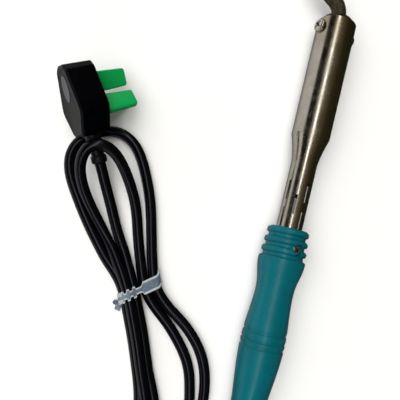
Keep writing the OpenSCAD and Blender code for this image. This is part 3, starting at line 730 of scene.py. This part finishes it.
def bit_piece():
    sides, verts, faces = 56, [], []
    total = BEND_R * BEND + BIT_STRAIGHT
    stations = list(np.arange(BIT_START - BEND_AT, -3, 6.0))
    stations += list(np.arange(-2.5, total - 0.3, 0.55))
    stations += [total - 0.3, total]
    for s in stations:
        x, y, turn = bit_line(s)
        left = total - s
        flat = BIT_R if left > CHISEL else EDGE + (BIT_R - EDGE) * left / CHISEL
        end = 0.9 if left < 0.01 else 1.0
        rough = 0.0 if s < 0 else min(1.0, s / 3)
        for k in range(sides):
            a = 2 * math.pi * k / sides
            across, up = BIT_R * math.cos(a), BIT_R * math.sin(a)
            if left < CHISEL:
                over = abs(across) - flat
                if over > 0:
                    across = math.copysign(flat + SOFT * (1 - math.exp(-over / SOFT)) * 0.4,
                                           across)
            at = Vector((x - across * math.sin(turn) * end,
                         y + across * math.cos(turn) * end, up * end))
            dent = noise.noise(at * 0.55) * DENT_BROAD + noise.noise(at * 1.7) * DENT_FINE
            d = Vector((-math.sin(turn) * math.cos(a), math.cos(turn) * math.cos(a), math.sin(a)))
            at += d * (dent - WORN) * rough
            verts.append(spot(at.x, at.y, at.z + AXIS_Z / MM))
    n = len(stations)
    for i in range(n - 1):
        for k in range(sides):
            m = (k + 1) % sides
            faces.append((i * sides + k, i * sides + m,
                          (i + 1) * sides + m, (i + 1) * sides + k))
    faces += [tuple(range(sides)), tuple(range(n * sides - 1, (n - 1) * sides - 1, -1))]
    return finish_mesh("bit_rod", verts, faces, 35)


bit = bit_piece()
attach(bit, "bit")
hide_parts("bit")


# --- Materials ---

class Look:
    """A node material. Textures follow each object's own place, so they stay with it."""

    def __init__(self, name, colour, rough, metallic=0.0, **sockets):
        self.mat = bpy.data.materials.new(name)
        self.mat.use_nodes = True
        self.tree = self.mat.node_tree
        self.shader = self.tree.nodes["Principled BSDF"]
        self.place = self.tree.nodes.new("ShaderNodeTexCoord").outputs["Object"]
        self.normal = None
        self.put("Base Color", (*colour, 1))
        self.put("Roughness", rough)
        self.put("Metallic", metallic)
        for socket, value in sockets.items():
            self.put(socket.replace("_", " "), value)

    def put(self, socket, value):
        target = self.shader.inputs[socket]
        if isinstance(value, bpy.types.NodeSocket):
            self.tree.links.new(value, target)
        else:
            target.default_value = value

    def node(self, kind, inputs=(), **settings):
        made = self.tree.nodes.new(kind)
        for k, v in settings.items():
            setattr(made, k, v)
        for k, v in dict(inputs).items():
            if isinstance(v, bpy.types.NodeSocket):
                self.tree.links.new(v, made.inputs[k])
            else:
                made.inputs[k].default_value = v
        return made

    def noise(self, size, detail=3.0, rough=0.55, stretch=(1, 1, 1), turn=(0, 0, 0), warp=0.0):
        """Noise whose features are about that many millimetres across."""
        m = self.node("ShaderNodeMapping",
                      {"Vector": self.place, "Scale": stretch, "Rotation": turn})
        return self.node("ShaderNodeTexNoise", {
            "Vector": m.outputs[0], "Scale": 1000 / size, "Detail": detail, "Roughness": rough,
            "Distortion": warp}).outputs["Fac"]

    def ramp(self, value, stops):
        made = self.node("ShaderNodeValToRGB", {"Fac": value})
        points = made.color_ramp.elements
        while len(points) < len(stops):
            points.new(0.5)
        for p, (at, colour) in zip(points, stops):
            p.position = at
            p.color = (*colour, 1) if hasattr(colour, "__len__") else (colour,) * 3 + (1,)
        return made.outputs["Color"]

    def blend(self, fac, a, b, how="MIX"):
        made = self.node("ShaderNodeMix", data_type="RGBA", blend_type=how)
        for socket, value in zip((made.inputs[0], made.inputs[6], made.inputs[7]), (fac, a, b)):
            if isinstance(value, bpy.types.NodeSocket):
                self.tree.links.new(value, socket)
            else:
                socket.default_value = value if not hasattr(value, "__len__") else (*value, 1)
        return made.outputs[2]

    def math(self, how, a, b=0.0, clamp=False):
        made = self.node("ShaderNodeMath", {0: a, 1: b}, operation=how, use_clamp=clamp)
        return made.outputs[0]

    def along(self, axis):
        return self.node("ShaderNodeSeparateXYZ", {0: self.place}).outputs[axis]

    def fade(self, value, start, end, low=0.0, high=1.0):
        return self.node("ShaderNodeMapRange", {
            "Value": value, "From Min": start, "From Max": end, "To Min": low, "To Max": high},
            interpolation_type="SMOOTHSTEP").outputs[0]

    def bump(self, height, depth, strength=1.0):
        """Adds relief of that depth in millimetres."""
        inputs = {"Height": height, "Distance": depth * MM, "Strength": strength}
        if self.normal is not None:
            inputs["Normal"] = self.normal
        self.normal = self.node("ShaderNodeBump", inputs).outputs[0]
        self.put("Normal", self.normal)


def use(look, *objects):
    for o in objects:
        o = NODES[o] if isinstance(o, str) else o
        o.data.materials.clear()
        o.data.materials.append(look.mat)


def second_look(obj, look, faces):
    obj.data.materials.append(look.mat)
    for i in faces:
        obj.data.polygons[i].material_index = 1


def steel(name, light, dark, rough, tint=None, brush=(0.14, (9, 1, 1)), wear=0.5):
    """Bare steel: cloudy stains, fine polishing marks round the axis, faint scratches along it."""
    k = Look(name, light, rough, 1.0)
    cloud = k.noise(9, 5, 0.6)
    fine = k.noise(brush[0] * 8, 2, 0.5, brush[1])
    colour = k.blend(k.ramp(cloud, [(0.35, 0.0), (0.72, 1.0)]), light, dark)
    colour = k.blend(k.math("MULTIPLY", fine, 0.3), colour, tuple(c * 0.72 for c in dark))
    if tint:
        place, start, end, hue = tint
        heat = k.math("MULTIPLY", k.fade(k.along(place), start, end),
                      k.fade(cloud, 0.2, 0.7, 0.45, 1.0))
        colour = k.blend(heat, colour, hue)
    k.put("Base Color", colour)
    scratch = k.ramp(k.noise(0.5, 1, 0.4, (0.05, 1, 1), warp=0.2), [(0.66, 0.0), (0.74, 1.0)])
    stained = k.fade(cloud, 0.3, 0.7, rough - 0.05, rough + 0.1)
    brushed = k.math("ADD", stained, k.math("MULTIPLY", fine, 0.08))
    k.put("Roughness", k.math("ADD", brushed, k.math("MULTIPLY", scratch, 0.12)))
    k.bump(fine, 0.005)
    k.bump(scratch, 0.003, wear)
    return k


NOSE_LEN = 3.2
EVEN_GRAIN = (0.1, (1, 1, 1))        # brush marks with no direction
nose_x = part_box("front_collar")[1].x
rim_x = nose_x - NOSE_LEN * MM
barrel_steel = steel("barrel_steel", (0.60, 0.565, 0.51), (0.5, 0.46, 0.39), 0.14,
                     ("X", rim_x - 0.03, rim_x + 0.004, (0.42, 0.355, 0.25)))
k = barrel_steel
radius = k.node("ShaderNodeVectorMath", {0: k.place, 1: (0, AXIS_Y, AXIS_Z)},
                operation="SUBTRACT").outputs[0]
radius = k.node("ShaderNodeVectorMath", {0: radius, 1: (0, 1, 1)},
                operation="MULTIPLY").outputs[0]
surface = k.node("ShaderNodeTexCoord").outputs["Normal"]
facing = k.node("ShaderNodeVectorMath", {0: radius, 1: surface},
                operation="DOT_PRODUCT").outputs["Value"]
outside = k.fade(facing, 0.002, 0.005)          # the bore and the slots' walls are burnt dark
bare = k.shader.inputs["Base Color"].links[0].from_socket
k.put("Base Color", k.blend(outside, (0.02, 0.017, 0.013), bare))
k.put("Metallic", k.fade(outside, 0, 1, 0.2, 1.0))
use(barrel_steel, "barrel")
collar_steel = steel("collar_steel", (0.40, 0.37, 0.31), (0.2, 0.17, 0.12), 0.3,
                     ("X", rim_x, nose_x, (0.2, 0.16, 0.1)))
use(collar_steel, "front_collar")
screw_steel = steel("screw_steel", (0.8, 0.77, 0.72), (0.42, 0.37, 0.31), 0.2, None, EVEN_GRAIN)
use(screw_steel, *clamps)
fixing_steel = steel("fixing_steel", (0.9, 0.88, 0.85), (0.55, 0.5, 0.45), 0.45, None, EVEN_GRAIN)
use(fixing_steel, fixing)
# Painted shade: the faces inside each screw's cross get a near-black colour that stands in for the
# shade in the recess
recess_shade = Look("screw_recess_shade", (0.012, 0.01, 0.008), 0.6, 0.3)
recess_shade.put("Base Color", recess_shade.ramp(recess_shade.noise(0.6, 4), [(0.3, (0.004, 0.004, 0.003)),
                                                        (0.7, (0.03, 0.024, 0.018))]))
recess_shade.bump(recess_shade.noise(0.2), 0.02)
for screw in (fixing, *clamps):
    second_look(screw, recess_shade, RECESSES[screw.name])

# Copper, burnt nearly black, with olive and brown scale
k = Look("bit_scale", (0.05, 0.045, 0.03), 0.6, 0.35)
patch, grain, pits = k.noise(3.2, 6, 0.65, warp=0.6), k.noise(0.5, 4, 0.6), k.noise(1.1, 3, 0.6)
colour = k.ramp(patch, [(0.3, (0.006, 0.005, 0.005)), (0.44, (0.03, 0.027, 0.014)),
                        (0.58, (0.075, 0.068, 0.03)), (0.74, (0.13, 0.08, 0.035))])
colour = k.blend(k.math("MULTIPLY", grain, 0.5), colour, (0.02, 0.018, 0.014))
TINNED, FULLY_TINNED = 9.5, 5        # mm from the tip where the tin starts and where it is full
tip_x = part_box("bit")[1].x
tinned = k.math("MULTIPLY", k.fade(k.along("X"), tip_x - TINNED * MM, tip_x - FULLY_TINNED * MM),
                k.fade(patch, 0.3, 0.5, 0.35, 1.0))
k.put("Base Color", k.blend(tinned, colour, (0.42, 0.42, 0.4)))
k.put("Metallic", k.fade(tinned, 0.0, 1.0, 0.55, 0.95))
k.put("Roughness", k.math("SUBTRACT", k.fade(grain, 0.3, 0.7, 0.36, 0.62),
                          k.math("MULTIPLY", tinned, 0.25)))
k.bump(grain, 0.06)
k.bump(k.ramp(pits, [(0.32, 0.0), (0.42, 1.0)]), 0.05)
use(k, bit)


def moulded(name, colour, rough, shade=0.8, grain=0.35, depth=0.02, dust=0.0,
            dust_hue=(0.3, 0.3, 0.3), **sockets):
    """Moulded plastic or rubber: slightly cloudy colour, fine surface grain, a little dust."""
    k = Look(name, colour, rough, **sockets)
    cloud, fine = k.noise(14, 3, 0.5), k.noise(grain, 3, 0.6)
    hue = k.blend(k.fade(cloud, 0.3, 0.7), colour, tuple(c * shade for c in colour))
    if dust:
        speck = k.math("MULTIPLY", k.ramp(k.noise(2.2, 6, 0.7), [(0.5, 0.0), (0.75, 1.0)]), dust)
        hue = k.blend(speck, hue, dust_hue)
    k.put("Base Color", hue)
    k.put("Roughness", k.math("ADD", k.fade(cloud, 0.25, 0.75, rough - 0.05, rough + 0.06),
                              k.math("MULTIPLY", fine, 0.06)))
    k.bump(fine, depth)
    return k


COOL_SHEEN = (0.78, 0.82, 1, 1)
teal = moulded("handle_teal", (0.0, 0.112, 0.14), 0.28, 0.84, 0.5, 0.014, 0.04, (0.04, 0.18, 0.2),
               Specular_IOR_Level=0.36, Specular_Tint=(0.75, 1, 1, 1))
use(teal, grip)
sheath = moulded("cord_sheath", (0.0012, 0.0012, 0.0024), 0.17, 0.7, 0.45, 0.008, 0.02,
                 (0.05, 0.05, 0.08), Specular_IOR_Level=0.36, Specular_Tint=COOL_SHEEN)
use(sheath, cord, "cord_tail")
rubber = moulded("relief_rubber", (0.003, 0.003, 0.004), 0.36, 0.7, 0.4, 0.02, 0.04,
                 (0.06, 0.06, 0.07), Specular_IOR_Level=0.35, Specular_Tint=COOL_SHEEN)
use(rubber, relief, boot)
plug_look = moulded("plug_plastic", (0.0008, 0.0007, 0.0015), 0.22, 0.75, 0.5, 0.008, 0.02,
                    (0.05, 0.05, 0.07), IOR=1.3, Specular_IOR_Level=0.25, Specular_Tint=COOL_SHEEN)
use(plug_look, plug)
oval_look = moulded("plug_oval_plastic", (0.09, 0.088, 0.11), 0.45, 0.9, 0.35, 0.05)
use(oval_look, plug_oval)
green = moulded("cover_plastic", (0.0, 0.36, 0.08), 0.3, 0.86, 0.6, 0.02, 0.04, (0.1, 0.4, 0.15),
                Subsurface_Weight=0.12, Subsurface_Radius=(0.001, 0.003, 0.001))
use(green, *[p for p in plug_pieces if p.name.startswith("cover_")])
nylon = moulded("tie_nylon", (0.6, 0.66, 0.7), 0.3, 0.85, 0.9, 0.03, 0.2, (0.25, 0.32, 0.4),
                Transmission_Weight=0.2)
use(nylon, tie)
clear = moulded("tie_nylon_thin", (0.19, 0.25, 0.33), 0.25, 0.6, 1.2, 0.1, 0.6, (0.42, 0.5, 0.58),
                Transmission_Weight=0.3)
second_look(tie, clear, tie_middle)
use(clear, tail)

brass = steel("pin_brass", (0.72, 0.62, 0.36), (0.6, 0.5, 0.27), 0.25, None, EVEN_GRAIN)
use(brass, *[p for p in plug_pieces if p.name.startswith("pin_")], "terminal_screws")
inner_steel = steel("inner_steel", (0.42, 0.4, 0.37), (0.26, 0.23, 0.2), 0.38)
use(inner_steel, "core_tube", "earth_strip", "lead_live", "lead_neutral", "crimp_ring")
wire_look = steel("winding_wire", (0.36, 0.33, 0.3), (0.2, 0.17, 0.15), 0.42)
use(wire_look, "heater_winding")
ceramic = moulded("ceramic", (0.8, 0.77, 0.69), 0.55, 0.88, 0.3, 0.04, 0.15, (0.4, 0.33, 0.24))
use(ceramic, "ceramic_disc", "ceramic_beads", "terminal_block")
bridge = moulded("bridge_plastic", (0.7, 0.67, 0.58), 0.5, 0.92)
use(bridge, "plug_bridge")
k = Look("mica", (0.55, 0.45, 0.25), 0.25)
flake, grain = k.noise(4, 5, 0.7, warp=1.0), k.noise(0.8, 4, 0.7)
k.put("Base Color", k.ramp(flake, [(0.3, (0.3, 0.2, 0.09)), (0.55, (0.6, 0.5, 0.28)),
                                   (0.8, (0.72, 0.66, 0.46))]))
k.put("Roughness", k.fade(flake, 0.3, 0.7, 0.18, 0.45))
k.bump(grain, 0.03)
use(k, "mica_former", "mica_wrap")
for node_name, hue in (("wire_live", (0.16, 0.06, 0.025)), ("wire_neutral", (0.02, 0.1, 0.45))):
    use(moulded(f"{node_name}_insulation", hue, 0.35), node_name)
k = Look("wire_earth_insulation", (0.3, 0.5, 0.03), 0.35)
EARTH_RISE = 4.6                     # mm of the earth wire's middle above the iron's axis
angle = k.math("ARCTAN2", k.math("SUBTRACT", k.along("Z"), AXIS_Z + EARTH_RISE * MM),
               k.math("SUBTRACT", k.along("Y"), AXIS_Y))
band = k.ramp(k.math("SINE", k.math("ADD", angle, 0.4)), [(0.3, (0.02, 0.28, 0.04)),
                                                          (0.42, (0.75, 0.62, 0.02))])
k.put("Base Color", k.blend(k.math("MULTIPLY", k.noise(3, 3), 0.2), band, (0.2, 0.2, 0.02)))
k.bump(k.noise(0.5), 0.02)
use(k, "wire_earth")


# --- Studio: a pale floor and soft strip lights along the iron ---

FLOOR_HALF, FLOOR_DROP = 25, 0.00002   # metres; just under the pieces that lie on it
SKY = (0.86, 0.87, 0.88, 1)          # behind the floor, seen by the camera only
floor_mesh = bpy.data.meshes.new("floor")
floor_mesh.from_pydata([(-FLOOR_HALF, -FLOOR_HALF, 0), (FLOOR_HALF, -FLOOR_HALF, 0),
                        (FLOOR_HALF, FLOOR_HALF, 0), (-FLOOR_HALF, FLOOR_HALF, 0)],
                       [], [(0, 1, 2, 3)])
floor = bpy.data.objects.new("floor", floor_mesh)
SCENE.collection.objects.link(floor)
floor.location.z = -FLOOR_DROP
floor.visible_glossy = False
k = Look("floor_paper", (0.86, 0.86, 0.86), 0.75)
k.put("Base Color", k.blend(k.noise(60, 3), (0.87, 0.87, 0.87), (0.84, 0.84, 0.84)))
use(k, floor)

world = bpy.data.worlds.new("studio")
SCENE.world = world
world.use_nodes = True
nodes, links = world.node_tree.nodes, world.node_tree.links
nodes.clear()
direction = nodes.new("ShaderNodeTexCoord").outputs["Generated"]
axes = nodes.new("ShaderNodeSeparateXYZ")
links.new(direction, axes.inputs[0])
turn = nodes.new("ShaderNodeMath")
turn.operation = "ARCTAN2"
links.new(axes.outputs["Y"], turn.inputs[0])
links.new(axes.outputs["Z"], turn.inputs[1])
to_share = nodes.new("ShaderNodeMapRange")
to_share.inputs["From Min"].default_value = -math.pi
to_share.inputs["From Max"].default_value = math.pi
links.new(turn.outputs[0], to_share.inputs["Value"])
strips = nodes.new("ShaderNodeValToRGB")
links.new(to_share.outputs[0], strips.inputs["Fac"])
# Degrees from straight up, + towards the bit's side, and how bright the studio is there
STUDIO = [(-180, (0.02, 0.02, 0.01)), (-100, (0.02, 0.02, 0.01)), (-60, (0.035, 0.026, 0.01)),
          (-25, (0.11, 0.09, 0.05)), (-5, (0.25, 0.215, 0.15)), (-1, (3.4, 3.4, 3.3)),
          (4, (3.4, 3.4, 3.3)), (8, (0.46, 0.43, 0.38)), (17, (0.3, 0.26, 0.2)),
          (23, (0.012, 0.01, 0.006)), (57, (0.008, 0.006, 0.005)), (61, (0.72, 0.69, 0.67)),
          (120, (0.62, 0.6, 0.58)), (180, (0.02, 0.02, 0.01))]
points = strips.color_ramp.elements
while len(points) < len(STUDIO):
    points.new(0.5)
for p, (degrees, colour) in zip(points, STUDIO):
    p.position = (degrees + 180) / 360
    p.color = (*colour, 1)
glow, pale = nodes.new("ShaderNodeBackground"), nodes.new("ShaderNodeBackground")
links.new(strips.outputs["Color"], glow.inputs["Color"])
pale.inputs["Color"].default_value = SKY
seen, pick = nodes.new("ShaderNodeLightPath"), nodes.new("ShaderNodeMixShader")
links.new(seen.outputs["Is Camera Ray"], pick.inputs[0])
links.new(glow.outputs[0], pick.inputs[1])
links.new(pale.outputs[0], pick.inputs[2])
links.new(pick.outputs[0], nodes.new("ShaderNodeOutputWorld").inputs["Surface"])

# A wide, soft light from above that leaves no spot in the polished pieces
FILL_ENERGY, FILL_ANGLE, FILL_FROM = 2.7, 1.3, (0.07, 0.3, 1)
fill_light = bpy.data.lights.new("fill", "SUN")
fill_light.energy, fill_light.angle = FILL_ENERGY, FILL_ANGLE
fill = bpy.data.objects.new("fill", fill_light)
SCENE.collection.objects.link(fill)
fill.rotation_euler = Vector(FILL_FROM).to_track_quat("Z", "Y").to_euler()
fill.visible_glossy = False
SCENE.view_settings.view_transform = "Standard"
SCENE.view_settings.look = "None"
